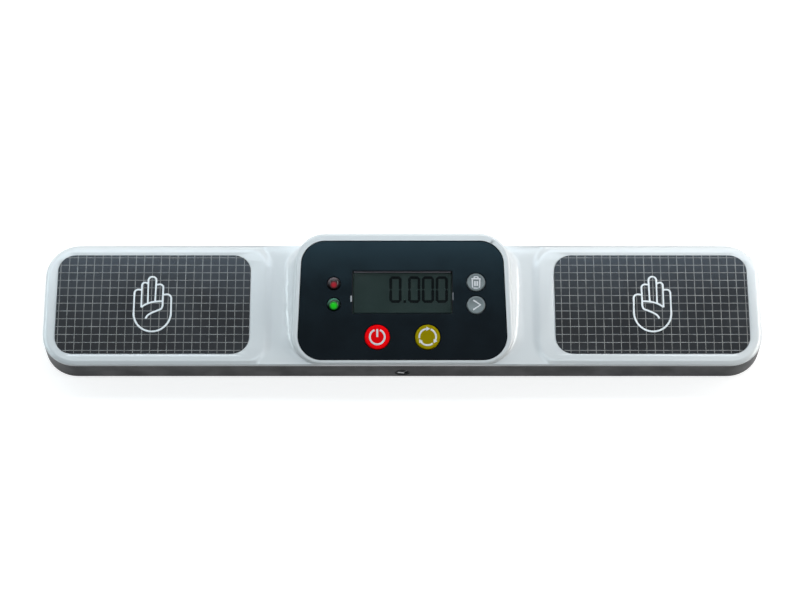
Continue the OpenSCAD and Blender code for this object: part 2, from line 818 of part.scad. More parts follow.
module sensor_plate(s) {
    color("#b8743c") translate([s * pad_x, 0, wing_roof - plate_t])
        linear_extrude(plate_t) square([plate_l, plate_w], center = true);
}

module left_touch_pad() { touch_pad(-1); }
module right_touch_pad() { touch_pad(1); }
module left_sensor_plate() { sensor_plate(-1); }
module right_sensor_plate() { sensor_plate(1); }

// From the underside of a sensor plate to the underside of the circuit board
module sensor_wire(s) {
    end = slope_point([board_l / 2 - 3, -6], board_depth + board_t);
    start = [pad_x - plate_l / 2 + 3, 0, wing_roof - plate_t];
    color("#c9302c") wire([for (p = [start, start - [0, 0, 0.6], start - [2, 0, 2], start - [14, 0, 3],
        end + [4, 0, -4], end + slope_down, end]) [s * p[0], p[1], p[2]]], 1);
}

module left_sensor_wire() { sensor_wire(-1); }
module right_sensor_wire() { sensor_wire(1); }

// ---- data jack ----

// Places children on the jack's axis, running to the rear from the given distance
// behind the front of the bar
module on_jack(back) {
    translate([0, back - body_w / 2, jack_z]) rotate([-90, 0, 0]) children();
}

module jack_block() {
    color("#1b1c1e") difference() {
        union() {
            translate([-jack_w / 2, -jack_front, floor_z]) cube([jack_w, jack_l, jack_h]);
            on_jack(0.2) cylinder(h = wall, d = jack_nose_d);
        }
        on_jack(-1) cylinder(h = jack_l + wall, d = jack_sleeve_d);
    }
}

module jack_sleeve() {
    color("#c9ccd0") on_jack(0.3) difference() {
        cylinder(h = jack_l - 1, d = jack_sleeve_d);
        translate([0, 0, -1]) cylinder(h = jack_l + 1, d = jack_bore_d);
    }
}

// Three solder tabs on the block, with a wire from each to the circuit board
terminal_pitch = 2;
terminal_h = 0.45;
terminal_y = jack_l - jack_front - 3;
module jack_terminals() {
    color("#d6d2c0") for (i = [-1:1])
        translate([i * terminal_pitch - 0.4, terminal_y, floor_z + jack_h]) cube([0.8, 0.4, terminal_h]);
}

module jack_wires() {
    color("#d8b11e") for (i = [-1:1]) {
        start = [i * terminal_pitch, terminal_y + 0.2, floor_z + jack_h + terminal_h];
        end = slope_point([i * terminal_pitch, 15 - panel_len / 2], board_depth + board_t);
        wire([start, start + [0, 0, 0.6], end + slope_down, end], 0.7, [1, 0, 0]);
    }
}

// ---- batteries ----

// A cell along x, its button towards +x, centred on its whole length
module cell() {
    button = 1;
    rotate([0, 90, 0]) translate([0, 0, -cell_l / 2]) {
        cylinder(h = cell_l - button, d = cell_d);
        cylinder(h = cell_l, d = 3.6);
    }
}

// How far a cell is pushed from the middle of the bay by its spring
cell_shift = bay_l / 2 - contact_t - 0.05 - cell_l / 2;

module front_cell() {
    color("#2f4f78") translate([cell_shift, cell_places[0], cell_z]) cell();
}

module rear_cell() {
    color("#2f4f78") translate([-cell_shift, cell_places[1], cell_z]) rotate(180) cell();
}

// Cone spring: one unbroken wire wound on a radius that narrows to the cell
spring_wire = 0.6;
spring_wide = 3.6;
spring_narrow = 2.2;
curl_rings = 8;
spring_sides = 6;
spring_rise = spring_l - spring_wire - 0.15;
function spring_point(t) =
    let (r = spring_wide + (spring_narrow - spring_wide) * t / spring_turns)
    [r * cos(360 * t), r * sin(360 * t), spring_wire / 2 + 0.05 + spring_rise * t / spring_turns];
spring_gap = norm(spring_point(1) - spring_point(0)) - spring_wire;
echo(str("least gap between turns of a cell spring: ", spring_gap));

module cell_spring() {
    mirror([0, 0, 1]) skin([for (k = [0:curl_rings * spring_turns])
        let (t = k / curl_rings, c = spring_point(t), out = [cos(360 * t), sin(360 * t), 0])
        [for (j = [0:spring_sides - 1]) let (a = 360 * j / spring_sides)
            [c[0], c[1], -c[2]] + spring_wire / 2 * (cos(a) * out - [0, 0, sin(a)])]]);
}

module cell_springs() {
    color("#d5d8db") {
        translate([-bay_l / 2 + contact_t, cell_places[0], cell_z]) rotate([0, 90, 0]) cell_spring();
        translate([bay_l / 2 - contact_t, cell_places[1], cell_z]) rotate([0, -90, 0]) cell_spring();
    }
}

// A contact plate stands in a slot of the bay wall, with a tab through the bay's roof
contact_w = 9;
tab_w = 2.5;
tab_h = 0.8;
module contact_plate(y, w) {
    translate([0, y - w / 2, rail_z + 1]) cube([contact_t, w, bay_top - rail_z - 1.2]);
}

module contact_tab(y) {
    translate([0, y - tab_w / 2, bay_top - 1])
        cube([contact_t, tab_w, bay_roof_t + tab_h + 1]);
}

module link_contact() {
    color("#cfd2d5") translate([-bay_l / 2, 0, 0])
        contact_plate((cell_places[0] + cell_places[1]) / 2, bay_w - 3);
}

module terminal_contacts() {
    color("#cfd2d5") translate([bay_l / 2 - contact_t, 0, 0]) for (y = cell_places) {
        contact_plate(y, contact_w);
        contact_tab(y);
    }
}

module contact_slots() {
    for (y = cell_places) translate([bay_l / 2 - contact_t - 0.1, y - tab_w / 2 - 0.1, bay_top - 1])
        cube([contact_t + 0.2, tab_w + 0.2, 5]);
}

module battery_wires() {
    color("#b3262a") for (i = [0, 1]) {
        start = [bay_l / 2 - contact_t / 2, cell_places[i], bay_top + bay_roof_t + tab_h];
        end = slope_point([bay_l / 2 + 5, 9 + i * 6], board_depth + board_t);
        wire([start, start + [0, 0, 0.5], end + 0.8 * slope_down, end], 0.8);
    }
}

module board_screws() {
    head_t = 1;
    color("#b9bcc0") for (p = board_bosses) on_slope(board_depth + board_t + head_t)
        translate([p[0], p[1], 0]) difference() {
            union() {
                cylinder(h = head_t, d = board_screw_d + 1.8);
                cylinder(h = head_t + board_t + 1.9, d = board_screw_d);
            }
            cross_recess(1.8, 0.5);
        }
}

top_shell();
bottom_cover();
battery_door();
front_panel();
left_touch_pad();
right_touch_pad();
left_sensor_plate();
right_sensor_plate();
lcd_front_glass();
lcd_segments();
lcd_rear_glass();
lcd_frame();
zebra_strips();
main_board();
timer_chip();
crystal();
board_parts();
switch_bodies();
power_button();
reset_button();
delete_button();
next_button();
power_plunger();
reset_plunger();
delete_plunger();
next_plunger();
red_led();
green_led();
jack_block();
jack_sleeve();
jack_terminals();
front_cell();
rear_cell();
cell_springs();
link_contact();
terminal_contacts();
battery_wires();
jack_wires();
left_sensor_wire();
right_sensor_wire();
housing_screws();
board_screws();
rubber_feet();
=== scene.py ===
import math
import bpy
import bmesh
from mathutils import Matrix, Vector


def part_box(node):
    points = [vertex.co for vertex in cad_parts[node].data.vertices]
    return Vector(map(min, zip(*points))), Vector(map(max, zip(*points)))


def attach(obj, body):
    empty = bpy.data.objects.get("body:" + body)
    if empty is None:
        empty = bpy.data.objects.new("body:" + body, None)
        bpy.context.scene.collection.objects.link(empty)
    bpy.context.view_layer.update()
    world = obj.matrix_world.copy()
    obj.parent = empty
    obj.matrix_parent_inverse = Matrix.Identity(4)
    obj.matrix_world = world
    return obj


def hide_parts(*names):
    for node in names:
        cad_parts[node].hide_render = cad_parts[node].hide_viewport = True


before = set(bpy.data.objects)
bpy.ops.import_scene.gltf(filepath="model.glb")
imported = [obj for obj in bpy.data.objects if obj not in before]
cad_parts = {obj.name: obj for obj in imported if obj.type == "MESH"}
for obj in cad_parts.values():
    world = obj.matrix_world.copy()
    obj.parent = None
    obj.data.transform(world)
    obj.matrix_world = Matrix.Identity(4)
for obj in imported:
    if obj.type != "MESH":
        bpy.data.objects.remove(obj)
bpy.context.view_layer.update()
mm = 0.001
print("frame loaded")


# small helpers for meshes

cleanUp = {"doubles": 0.002 * mm, "slivers": 0.001 * mm, "flatWithin": 0.4}
shading = {"normalWeight": 80, "bevelSegments": 2, "bevelFrom": 40}


def addObject(name, data):
    piece = bpy.data.objects.new(name, data)
    bpy.context.scene.collection.objects.link(piece)
    return piece


def meshFrom(bm, name):
    mesh = bpy.data.meshes.new(name)
    bm.to_mesh(mesh)
    bm.free()
    return mesh


def smoothByAngle(mesh, degrees):
    mesh.shade_smooth()
    mesh.set_sharp_from_angle(angle=math.radians(degrees))


def finishPiece(piece, material, body="housing", stands=()):
    piece.data.materials.clear()
    piece.data.materials.append(material)
    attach(piece, body)
    if stands:
        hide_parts(*stands)
    return piece


def mergedForm(node):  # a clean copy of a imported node: doubles merged, flat triangles joined
    bm = bmesh.new()
    bm.from_mesh(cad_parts[node].data)
    bmesh.ops.remove_doubles(bm, verts=bm.verts, dist=cleanUp["doubles"])
    bmesh.ops.dissolve_degenerate(bm, edges=bm.edges, dist=cleanUp["slivers"])
    bmesh.ops.dissolve_limit(bm, angle_limit=math.radians(cleanUp["flatWithin"]),
                             verts=bm.verts, edges=bm.edges)
    return bm


def evenNormals(piece):
    weights = piece.modifiers.new("evenNormals", "WEIGHTED_NORMAL")
    weights.keep_sharp = True
    weights.weight = shading["normalWeight"]


def softEdges(piece, width):
    edge = piece.modifiers.new("softEdges", "BEVEL")
    edge.width = width
    edge.segments = shading["bevelSegments"]
    edge.limit_method = "ANGLE"
    edge.angle_limit = math.radians(shading["bevelFrom"])
    edge.harden_normals = False


def makeCadPiece(name, node, material, body="housing", degrees=32, edge=0.0, reshape=None):
    bm = mergedForm(node)
    if reshape:
        reshape(bm)
    mesh = meshFrom(bm, name)
    smoothByAngle(mesh, degrees)
    piece = addObject(name, mesh)
    if edge:
        softEdges(piece, edge)
    evenNormals(piece)
    return finishPiece(piece, material, body, [node])


def cutAcross(bm, count, step, beyond=0.0):  # even cuts along y, through faces further out in x than beyond
    for i in range(-count, count + 1):
        faces = [f for f in bm.faces if abs(f.calc_center_bounds().x) > beyond]
        geometry = list(dict.fromkeys(part for f in faces for part in [f, *f.edges, *f.verts]))
        bmesh.ops.bisect_plane(bm, geom=geometry, plane_co=(0, i * step, 0), plane_no=(0, 1, 0))


def latheProfile(name, profile, steps=64):  # profile: (radius, height) in millimetres, from axis to axis
    bm = bmesh.new()
    chain = [bm.verts.new((r * mm, 0, h * mm)) for r, h in profile]
    for a, b in zip(chain, chain[1:]):
        bm.edges.new((a, b))
    bmesh.ops.spin(bm, geom=bm.verts[:] + bm.edges[:], cent=(0, 0, 0), axis=(0, 0, 1),
                   angle=2 * math.pi, steps=steps, use_merge=True, use_duplicate=False)
    bmesh.ops.remove_doubles(bm, verts=bm.verts, dist=cleanUp["slivers"])
    bmesh.ops.recalc_face_normals(bm, faces=bm.faces)
    return meshFrom(bm, name)


def bevelledBar(name, size, edge):  # a small bar round the origin, in millimetres
    bm = bmesh.new()
    bmesh.ops.create_cube(bm, size=1.0)
    bmesh.ops.scale(bm, vec=Vector(size) * mm, verts=bm.verts)
    bmesh.ops.bevel(bm, geom=bm.edges[:], offset=edge * mm, offset_type="OFFSET", affect="EDGES",
                    segments=2, profile=0.5, material=-1)
    return meshFrom(bm, name)


def arcPoints(cx, cy, r, start, end, count=14):
    angles = [math.radians(start + (end - start) * i / count) for i in range(count + 1)]
    return [(cx + r * math.cos(a), cy + r * math.sin(a)) for a in angles]


def roundRods(name, paths, radius, roundness):  # paths: (points, curved), made one mesh
    curve = bpy.data.curves.new(name, "CURVE")
    curve.dimensions = "3D"
    curve.bevel_depth = radius
    curve.bevel_resolution = roundness
    curve.use_fill_caps = True
    for points, curved in paths:
        spline = curve.splines.new("BEZIER" if curved else "POLY")
        spots = spline.bezier_points if curved else spline.points
        spots.add(len(points) - 1)
        for spot, place in zip(spots, points):
            spot.co = place if curved else (*place, 1)
            if curved:
                spot.handle_left_type = spot.handle_right_type = "AUTO"
    holder = addObject(name + "Line", curve)
    bpy.context.view_layer.update()
    mesh = bpy.data.meshes.new_from_object(holder.evaluated_get(bpy.context.evaluated_depsgraph_get()))
    bpy.data.objects.remove(holder)
    mesh.name = name
    mesh.shade_smooth()
    return mesh


def inkStrokes(name, paths, width, height):  # flat rounded lines in the XY plane, in millimetres
    lines = [([(x * mm, y * mm, 0) for x, y in points], curved) for points, curved in paths]
    mesh = roundRods(name, lines, width * mm / 2, roundness=2)
    mesh.transform(Matrix.Diagonal((1, 1, height / width, 1)))
    return mesh


# small helpers for materials

def startMaterial(name):
    material = bpy.data.materials.new(name)
    material.use_nodes = True
    tree = material.node_tree
    coords = tree.nodes.new("ShaderNodeTexCoord").outputs["Object"]
    return material, tree, tree.nodes["Principled BSDF"], coords


def feed(tree, socket, value):  # a link from another node, or a fixed number or colour
    if isinstance(value, bpy.types.NodeSocket):
        tree.links.new(value, socket)
    else:
        socket.default_value = (*value, 1) if isinstance(value, tuple) else value


def noiseOf(tree, coords, scale, detail):
    node = tree.nodes.new("ShaderNodeTexNoise")
    node.inputs["Scale"].default_value = scale
    node.inputs["Detail"].default_value = detail
    tree.links.new(coords, node.inputs["Vector"])
    return node.outputs["Fac"]


def spreadOf(tree, value, low, high, start=0.3, end=0.7):
    node = tree.nodes.new("ShaderNodeMapRange")
    node.interpolation_type = "SMOOTHSTEP"
    tree.links.new(value, node.inputs["Value"])
    for socket, number in zip(("From Min", "From Max", "To Min", "To Max"), (start, end, low, high)):
        node.inputs[socket].default_value = number
    return node.outputs["Result"]


def mathOf(tree, operation, a, b):
    node = tree.nodes.new("ShaderNodeMath")
    node.operation = operation
    feed(tree, node.inputs[0], a)
    feed(tree, node.inputs[1], b)
    return node.outputs[0]


def distanceTo(tree, coords, place):
    node = tree.nodes.new("ShaderNodeVectorMath")
    node.operation = "DISTANCE"
    tree.links.new(coords, node.inputs[0])
    node.inputs[1].default_value = place
    return node.outputs["Value"]


def axesOf(tree, coords):
    node = tree.nodes.new("ShaderNodeSeparateXYZ")
    tree.links.new(coords, node.inputs[0])
    return node.outputs


def colorMix(tree, factor, a, b):
    node = tree.nodes.new("ShaderNodeMix")
    node.data_type = "RGBA"
    tree.links.new(factor, node.inputs[0])
    feed(tree, node.inputs[6], a)
    feed(tree, node.inputs[7], b)
    return node.outputs[2]


def shaderMix(tree, factor, a, b):
    node = tree.nodes.new("ShaderNodeMixShader")
    feed(tree, node.inputs[0], factor)
    tree.links.new(a, node.inputs[1])
    tree.links.new(b, node.inputs[2])
    return node.outputs[0]


def bumpOf(tree, shader, height, strength, distance, before=None):
    node = tree.nodes.new("ShaderNodeBump")
    node.inputs["Strength"].default_value = strength
    node.inputs["Distance"].default_value = distance
    tree.links.new(height, node.inputs["Height"])
    if before is not None:
        tree.links.new(before, node.inputs["Normal"])
    tree.links.new(node.outputs["Normal"], shader.inputs["Normal"])
    return node.outputs["Normal"]


def shade(color, amount):
    return tuple(min(1.0, c * amount) for c in color)


plainPlastic = {  # a finish states only what differs from these
    "mottle": 0.03,           # how far the colour varies
    "cloudScale": 35,
    "spread": 0.2,            # how far the gloss varies
    "handledScale": 90,
    "grain": 0.15,
    "grainScale": 2600,
    "grainDepth": 0.02 * mm,
    "specular": 0.5,
    "sheen": (1, 1, 1),
    "coat": 0.0,
    "coatRough": 0.1,
}


def mouldedFinish(name, look):  # moulded plastic or rubber: mottled colour, uneven gloss, fine grain
    material, tree, shader, coords = startMaterial(name)
    look = {**plainPlastic, **look}
    color, rough, mottle, spread = look["color"], look["rough"], look["mottle"], look["spread"]
    cloud = spreadOf(tree, noiseOf(tree, coords, look["cloudScale"], 4), 0, 1)
    ground = colorMix(tree, cloud, shade(color, 1 - mottle), shade(color, 1 + mottle))
    tree.links.new(ground, shader.inputs["Base Color"])
    handled = noiseOf(tree, coords, look["handledScale"], 5)
    gloss = spreadOf(tree, handled, rough * (1 - spread), rough * (1 + spread))
    tree.links.new(gloss, shader.inputs["Roughness"])
    if look["grain"] > 0:
        bumpOf(tree, shader, noiseOf(tree, coords, look["grainScale"], 2), look["grain"], look["grainDepth"])
    shader.inputs["Specular IOR Level"].default_value = look["specular"]
    shader.inputs["Specular Tint"].default_value = (*look["sheen"], 1)
    shader.inputs["Coat Weight"].default_value = look["coat"]
    shader.inputs["Coat Roughness"].default_value = look["coatRough"]
    return material


plainMetal = {
    "lines": (30, 1, 30),     # drawn lines run along y
    "lineScale": 160,
    "lineDepth": 0.01 * mm,
    "grain": 0.12,
    "stainScale": 220,
    "stain": 0.8,
}


def metalFinish(name, look):  # drawn or rolled metal: fine lines along one axis and faint stains
    material, tree, shader, coords = startMaterial(name)
    look = {**plainMetal, **look}
    color, rough = look["color"], look["rough"]
    stretch = tree.nodes.new("ShaderNodeMapping")
    stretch.inputs["Scale"].default_value = look["lines"]
    tree.links.new(coords, stretch.inputs["Vector"])
    lines = noiseOf(tree, stretch.outputs["Vector"], look["lineScale"], 4)
    stain = spreadOf(tree, noiseOf(tree, coords, look["stainScale"], 4), 0, 1, 0.35, 0.75)
    tree.links.new(colorMix(tree, stain, color, shade(color, look["stain"])), shader.inputs["Base Color"])
    tree.links.new(spreadOf(tree, lines, rough * 0.7, rough * 1.4), shader.inputs["Roughness"])
    bumpOf(tree, shader, lines, look["grain"], look["lineDepth"])
    shader.inputs["Metallic"].default_value = 1.0
    return material


# camera, as the photograph sees the timer

cameraLook = {
    "place": (-0.00096, -0.41185, 0.989),
    "target": (-0.00096, 0.00212, 0.013),
    "lens": 119.0,
    "sensor": 36.0,
    "nearest": 0.01,
    "farthest": 50,
}

cameraData = bpy.data.cameras.new("mainCamera")
cameraData.lens = cameraLook["lens"]
cameraData.sensor_width = cameraLook["sensor"]
cameraData.clip_start = cameraLook["nearest"]
cameraData.clip_end = cameraLook["farthest"]
mainCamera = addObject("mainCamera", cameraData)
mainCamera.location = cameraLook["place"]
aim = Vector(cameraLook["target"]) - Vector(cameraLook["place"])
mainCamera.rotation_euler = aim.to_track_quat("-Z", "Y").to_euler()
bpy.context.scene.camera = mainCamera
bpy.context.scene.view_settings.view_transform = "Standard"


# light: a warm key and a cool strip behind and above, a strip overhead, low ones behind and at both ends

lightLook = {
    "rearKey": {"place": (0, 0.72, 0.95), "size": (1.5, 0.36), "power": 2.1, "color": (1.0, 0.94, 0.88)},
    "backStrip": {"place": (0, 0.62, 0.89), "size": (1.6, 0.10), "power": 4.6, "color": (0.70, 0.88, 1.0)},
    "lowRear": {"place": (0, 0.30, 0.16), "size": (1.2, 0.08), "power": 1.0, "color": (1.0, 1.0, 1.0)},
    "topStrip": {"place": (0, -0.03, 0.8), "size": (0.9, 0.06), "power": 1.5, "color": (0.82, 0.94, 1.0)},
    "rightSide": {"place": (0.45, 0.04, 0.16), "size": (0.4, 0.08), "power": 1.35, "color": (1, 0.98, 0.95)},
    "leftSide": {"place": (-0.45, 0.04, 0.16), "size": (0.4, 0.08), "power": 0.7, "color": (0.8, 0.95, 1.0)},
}
lightTarget = (0, 0, 0.01)

for lightName, look in lightLook.items():
    lamp = bpy.data.lights.new(lightName, "AREA")
    lamp.shape = "RECTANGLE"
    lamp.size, lamp.size_y = look["size"]
    lamp.energy = look["power"]
    lamp.color = look["color"]
    lampObject = addObject(lightName, lamp)
    lampObject.location = look["place"]
    away = Vector(look["place"]) - Vector(lightTarget)
    lampObject.rotation_euler = away.to_track_quat("Z", "Y").to_euler()
    lampObject.visible_camera = False


def showBySight(tree, plain, seen, outputKind):  # camera, glossy and transmission rays meet the seen side
    path = tree.nodes.new("ShaderNodeLightPath").outputs
    looking = mathOf(tree, "MAXIMUM", path["Is Camera Ray"], path["Is Glossy Ray"])
    looking = mathOf(tree, "MAXIMUM", looking, path["Is Transmission Ray"])
    output = tree.nodes.new(outputKind)
    tree.links.new(shaderMix(tree, looking, plain, seen), output.inputs["Surface"])


def colorNode(tree, kind, color, strength=None):
    node = tree.nodes.new(kind)
    node.inputs["Color"].default_value = (*color, 1)
    if strength is not None:
        node.inputs["Strength"].default_value = strength
    return node.outputs[0]


worldLook = {"ambient": 0.10, "color": (0.93, 0.97, 1.0), "seenColor": (1, 1, 1), "seen": 1.0}

world = bpy.data.worlds.new("studio")
bpy.context.scene.world = world
world.use_nodes = True
worldTree = world.node_tree
worldTree.nodes.clear()
plainSky = colorNode(worldTree, "ShaderNodeBackground", worldLook["color"], worldLook["ambient"])
whiteSky = colorNode(worldTree, "ShaderNodeBackground", worldLook["seenColor"], worldLook["seen"])
showBySight(worldTree, plainSky, whiteSky, "ShaderNodeOutputWorld")

floorLook = {
    "half": 4.0,
    "drop": 0.02 * mm,        # keeps the floor just clear of the feet
    "pale": 0.6,
    "seenPale": 0.4,
    "glow": 0.76,
}

bm = bmesh.new()
bmesh.ops.create_grid(bm, x_segments=1, y_segments=1, size=floorLook["half"])
tableTop = addObject("tableTop", meshFrom(bm, "tableTop"))
tableTop.location = (0, 0, -floorLook["drop"])
floorMaterial = bpy.data.materials.new("paleTable")
floorMaterial.use_nodes = True
floorTree = floorMaterial.node_tree
floorTree.nodes.clear()
bounceSide = colorNode(floorTree, "ShaderNodeBsdfDiffuse", (floorLook["pale"],) * 3)
seenSide = colorNode(floorTree, "ShaderNodeBsdfDiffuse", (floorLook["seenPale"],) * 3)
seenGlow = colorNode(floorTree, "ShaderNodeEmission", (1, 1, 1), floorLook["glow"])
seenSum = floorTree.nodes.new("ShaderNodeAddShader")
floorTree.links.new(seenSide, seenSum.inputs[0])
floorTree.links.new(seenGlow, seenSum.inputs[1])
showBySight(floorTree, bounceSide, seenSum.outputs[0], "ShaderNodeOutputMaterial")
tableTop.data.materials.append(floorMaterial)
print("camera, light and floor ready")


# the console's slope: u runs right, v up the slope, w above the panel's face, all in millimetres

slopeLook = {"tilt": 15.0, "panelThick": 1.5 * mm}

tilt = math.radians(slopeLook["tilt"])
panelLow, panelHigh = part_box("front_panel")
slopeNormal = Vector((0, -math.sin(tilt), math.cos(tilt)))
faceMiddle = (panelLow + panelHigh) / 2 + slopeNormal * slopeLook["panelThick"] / 2
slopePlace = Matrix.Translation(faceMiddle) @ Matrix.Rotation(tilt, 4, "X")


def slopePoint(u, v, w):
    return slopePlace @ Vector((u * mm, v * mm, w * mm))


def onSlope(mesh, u, v, w=0.0):
    mesh.transform(slopePlace @ Matrix.Translation((u * mm, v * mm, w * mm)))


def slopeMiddle(node):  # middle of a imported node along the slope: (u, v)
    back = slopePlace.inverted()
    places = [back @ vert.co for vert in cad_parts[node].data.vertices]
    spans = [(min(p[i] for p in places), max(p[i] for p in places)) for i in (0, 1)]
    return tuple((low + high) / 2 / mm for low, high in spans)


# housing: white top, dark base, sliding battery door; the base's and door's dark grey is painted shade
# standing in for the shade on a white front wall

housingLook = {
    "crownRadius": 0.38,      # front-to-back crown of the two wings
    "crownStep": 3.25 * mm,
    "crownCuts": 7,           # on each side of the middle, and none on the front and rear walls
    "wingStart": 0.044,       # the console inside this distance keeps its faces uncut
    "crownInside": 0.0515,    # the crown fades in between these distances from the middle
    "crownOutside": 0.0600,
    "partingZ": 12.1 * mm,
    "edgeRise": 2.3 * mm,
    "topWhite": {"color": (0.56, 0.58, 0.59), "rough": 0.30, "spread": 0.05, "mottle": 0.008, "grain": 0.02,
                 "coat": 0.9, "coatRough": 0.22, "specular": 0.5},
    # painted shade: the base is dark grey all over, standing in for the shade that darkens the white shell's
    # front wall; the door takes the same grey
    "paintedShadeBaseGrey": {"color": (0.040, 0.040, 0.042), "rough": 0.46, "mottle": 0.05, "grain": 0.35,
                 "grainScale": 3400, "specular": 0.12},
    "paintedShadeDoorGrey": {"color": (0.044, 0.044, 0.047), "rough": 0.5, "mottle": 0.06, "grain": 0.4,
                 "grainScale": 3400, "specular": 0.14},
}

topWhite = mouldedFinish("topWhite", housingLook["topWhite"])
paintedShadeBaseGrey = mouldedFinish("paintedShadeBaseGrey", housingLook["paintedShadeBaseGrey"])
paintedShadeDoorGrey = mouldedFinish("paintedShadeDoorGrey", housingLook["paintedShadeDoorGrey"])


def smoothStep(value):
    value = max(0.0, min(1.0, value))
    return value * value * (3 - 2 * value)


def crownDrop(y):
    radius = housingLook["crownRadius"]
    return radius - math.sqrt(radius * radius - y * y)


def crownWings(bm):
    cutAcross(bm, housingLook["crownCuts"], housingLook["crownStep"], housingLook["wingStart"])
    inside, outside = housingLook["crownInside"], housingLook["crownOutside"]
    for vert in bm.verts:
        along = smoothStep((abs(vert.co.x) - inside) / (outside - inside))
        rise = smoothStep((vert.co.z - housingLook["partingZ"]) / housingLook["edgeRise"])
        vert.co.z -= crownDrop(vert.co.y) * along * rise


makeCadPiece("topHousing", "top_shell", topWhite, reshape=crownWings)
makeCadPiece("baseHousing", "bottom_cover", paintedShadeBaseGrey)
makeCadPiece("batteryDoor", "battery_door", paintedShadeDoorGrey, body="battery_door")
print("housing ready")


# hand pads: crowned plates with a printed grid and a hand outline

padLook = {
    "crownStep": 1.7 * mm,
    "crownCuts": 13,
    "color": (0.0065, 0.0045, 0.0030),
    "mottle": 0.15,
    "cloudScale": 45,
    "rough": 0.25,
    "roughLeast": 0.85,       # shares of rough, between which it varies over the face
    "roughMost": 1.2,
    "touchScale": 60,
    "specular": 0.33,
    # painted reflection: the blue sheen tints the pads' reflections, standing in for bluish light
    "sheen": (0.70, 0.84, 1.0),
    "weave": 0.25,
    "weaveScale": 3800,
    "weaveDepth": 0.02 * mm,
    "lineColor": (0.235, 0.23, 0.22),
    "pitch": 3.352 * mm,
    "firstFromOuter": 1.05 * mm,
    "lineHalf": 0.13 * mm,
    "lineFade": (0.7, 1.5),   # shares of lineHalf between which a line fades out
    "wornScale": 260,
    "wornLeast": 0.55,
    "lineBump": 0.5,
    "lineDepth": 0.03 * mm,
    "mark": {"color": (0.70, 0.73, 0.75), "rough": 0.42, "mottle": 0.05, "grain": 0.2},
    "strokeWidth": 0.76,
    "strokeHeight": 0.1,
}

markInk = mouldedFinish("markInk", padLook["mark"])


def padFinish(name, outerX, side):
    material, tree, shader, coords = startMaterial(name)
    axes = axesOf(tree, coords)
    distances = []
    for axis, first in (("X", outerX + side * padLook["firstFromOuter"]), ("Y", 0.0)):
        shifted = mathOf(tree, "SUBTRACT", axes[axis], first)
        distances.append(mathOf(tree, "PINGPONG", shifted, padLook["pitch"] / 2))
    nearest = mathOf(tree, "MINIMUM", distances[0], distances[1])
    fadeStart, fadeEnd = (padLook["lineHalf"] * share for share in padLook["lineFade"])
    line = spreadOf(tree, nearest, 1, 0, fadeStart, fadeEnd)
    worn = spreadOf(tree, noiseOf(tree, coords, padLook["wornScale"], 3), padLook["wornLeast"], 1.0)
    printed = mathOf(tree, "MULTIPLY", line, worn)
    cloud = spreadOf(tree, noiseOf(tree, coords, padLook["cloudScale"], 4), 0, 1)
    color, mottle, rough = padLook["color"], padLook["mottle"], padLook["rough"]
    ground = colorMix(tree, cloud, shade(color, 1 - mottle), shade(color, 1 + mottle))
    tree.links.new(colorMix(tree, printed, ground, padLook["lineColor"]), shader.inputs["Base Color"])
    touch = spreadOf(tree, noiseOf(tree, coords, padLook["touchScale"], 5),
                     rough * padLook["roughLeast"], rough * padLook["roughMost"])
    tree.links.new(touch, shader.inputs["Roughness"])
    shader.inputs["Specular IOR Level"].default_value = padLook["specular"]
    shader.inputs["Specular Tint"].default_value = (*padLook["sheen"], 1)
    weave = noiseOf(tree, coords, padLook["weaveScale"], 2)
    fine = bumpOf(tree, shader, weave, padLook["weave"], padLook["weaveDepth"])
    bumpOf(tree, shader, printed, padLook["lineBump"], padLook["lineDepth"], fine)
    return material


def handPaths(side):  # outline of a raised left hand; side -1 mirrors it
    palm = [(7.45 * x - 0.17, 8.0 * y - 4.15) for x, y in arcPoints(0, 0, 1, 0, -180, 30)]
    outside = [(3.85, 3.68)] + arcPoints(5.45, 2.1, 1.75, 90, 0) + palm + arcPoints(-6.05, 4.4, 1.55, 180, 90)
    ring = [(-4.65, -1.73)] + arcPoints(-3.45, 7.78, 1.25, 180, 45)
    middle = [(-2.12, 0.1)] + arcPoints(-0.6, 10.03, 1.58, 180, 0) + [(0.97, 9.3), (0.8, 0.79)]
    index = [(0.97, 8.05)] + arcPoints(2.4, 6.75, 1.5, 90, 0) + [(3.83, 1.4), (3.84, 0)]
    paths = [
        (outside + [(-4.65, 5.8)], False), (ring + [(-2.17, 8.5)], False), (middle, False), (index, False),
        ([(3.84, 0), (3.8, -1.2), (3.3, -2.4), (1.7, -3.2),
          (-0.65, -4.3), (-2.1, -5.4), (-2.8, -6.65)], True),
        ([(-4.65, -1.73), (-3.0, -0.55), (-0.8, 0.35), (1.55, 0.75), (3.83, 0.88)], True),
    ]
    return [([(x * side, y) for x, y in path], curved) for path, curved in paths]


def crownPad(bm):
    cutAcross(bm, padLook["crownCuts"], padLook["crownStep"])
    for vert in bm.verts:
        vert.co.z -= crownDrop(vert.co.y)


def makePad(name, node, side):
    low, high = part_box(node)
    skin = padFinish(name + "Skin", low.x if side < 0 else high.x, -side)
    makeCadPiece(name, node, skin, degrees=50, reshape=crownPad)
    mark = inkStrokes(name + "Mark", handPaths(-side), padLook["strokeWidth"], padLook["strokeHeight"])
    mark.transform(Matrix.Translation(((low.x + high.x) / 2, 0, high.z)))
    for vert in mark.vertices:
        vert.co.z -= crownDrop(vert.co.y)
    finishPiece(addObject(name + "Mark", mark), markInk)


makePad("leftPad", "left_touch_pad", -1)
makePad("rightPad", "right_touch_pad", 1)
print("hand pads ready")


# display panel and the display in its window

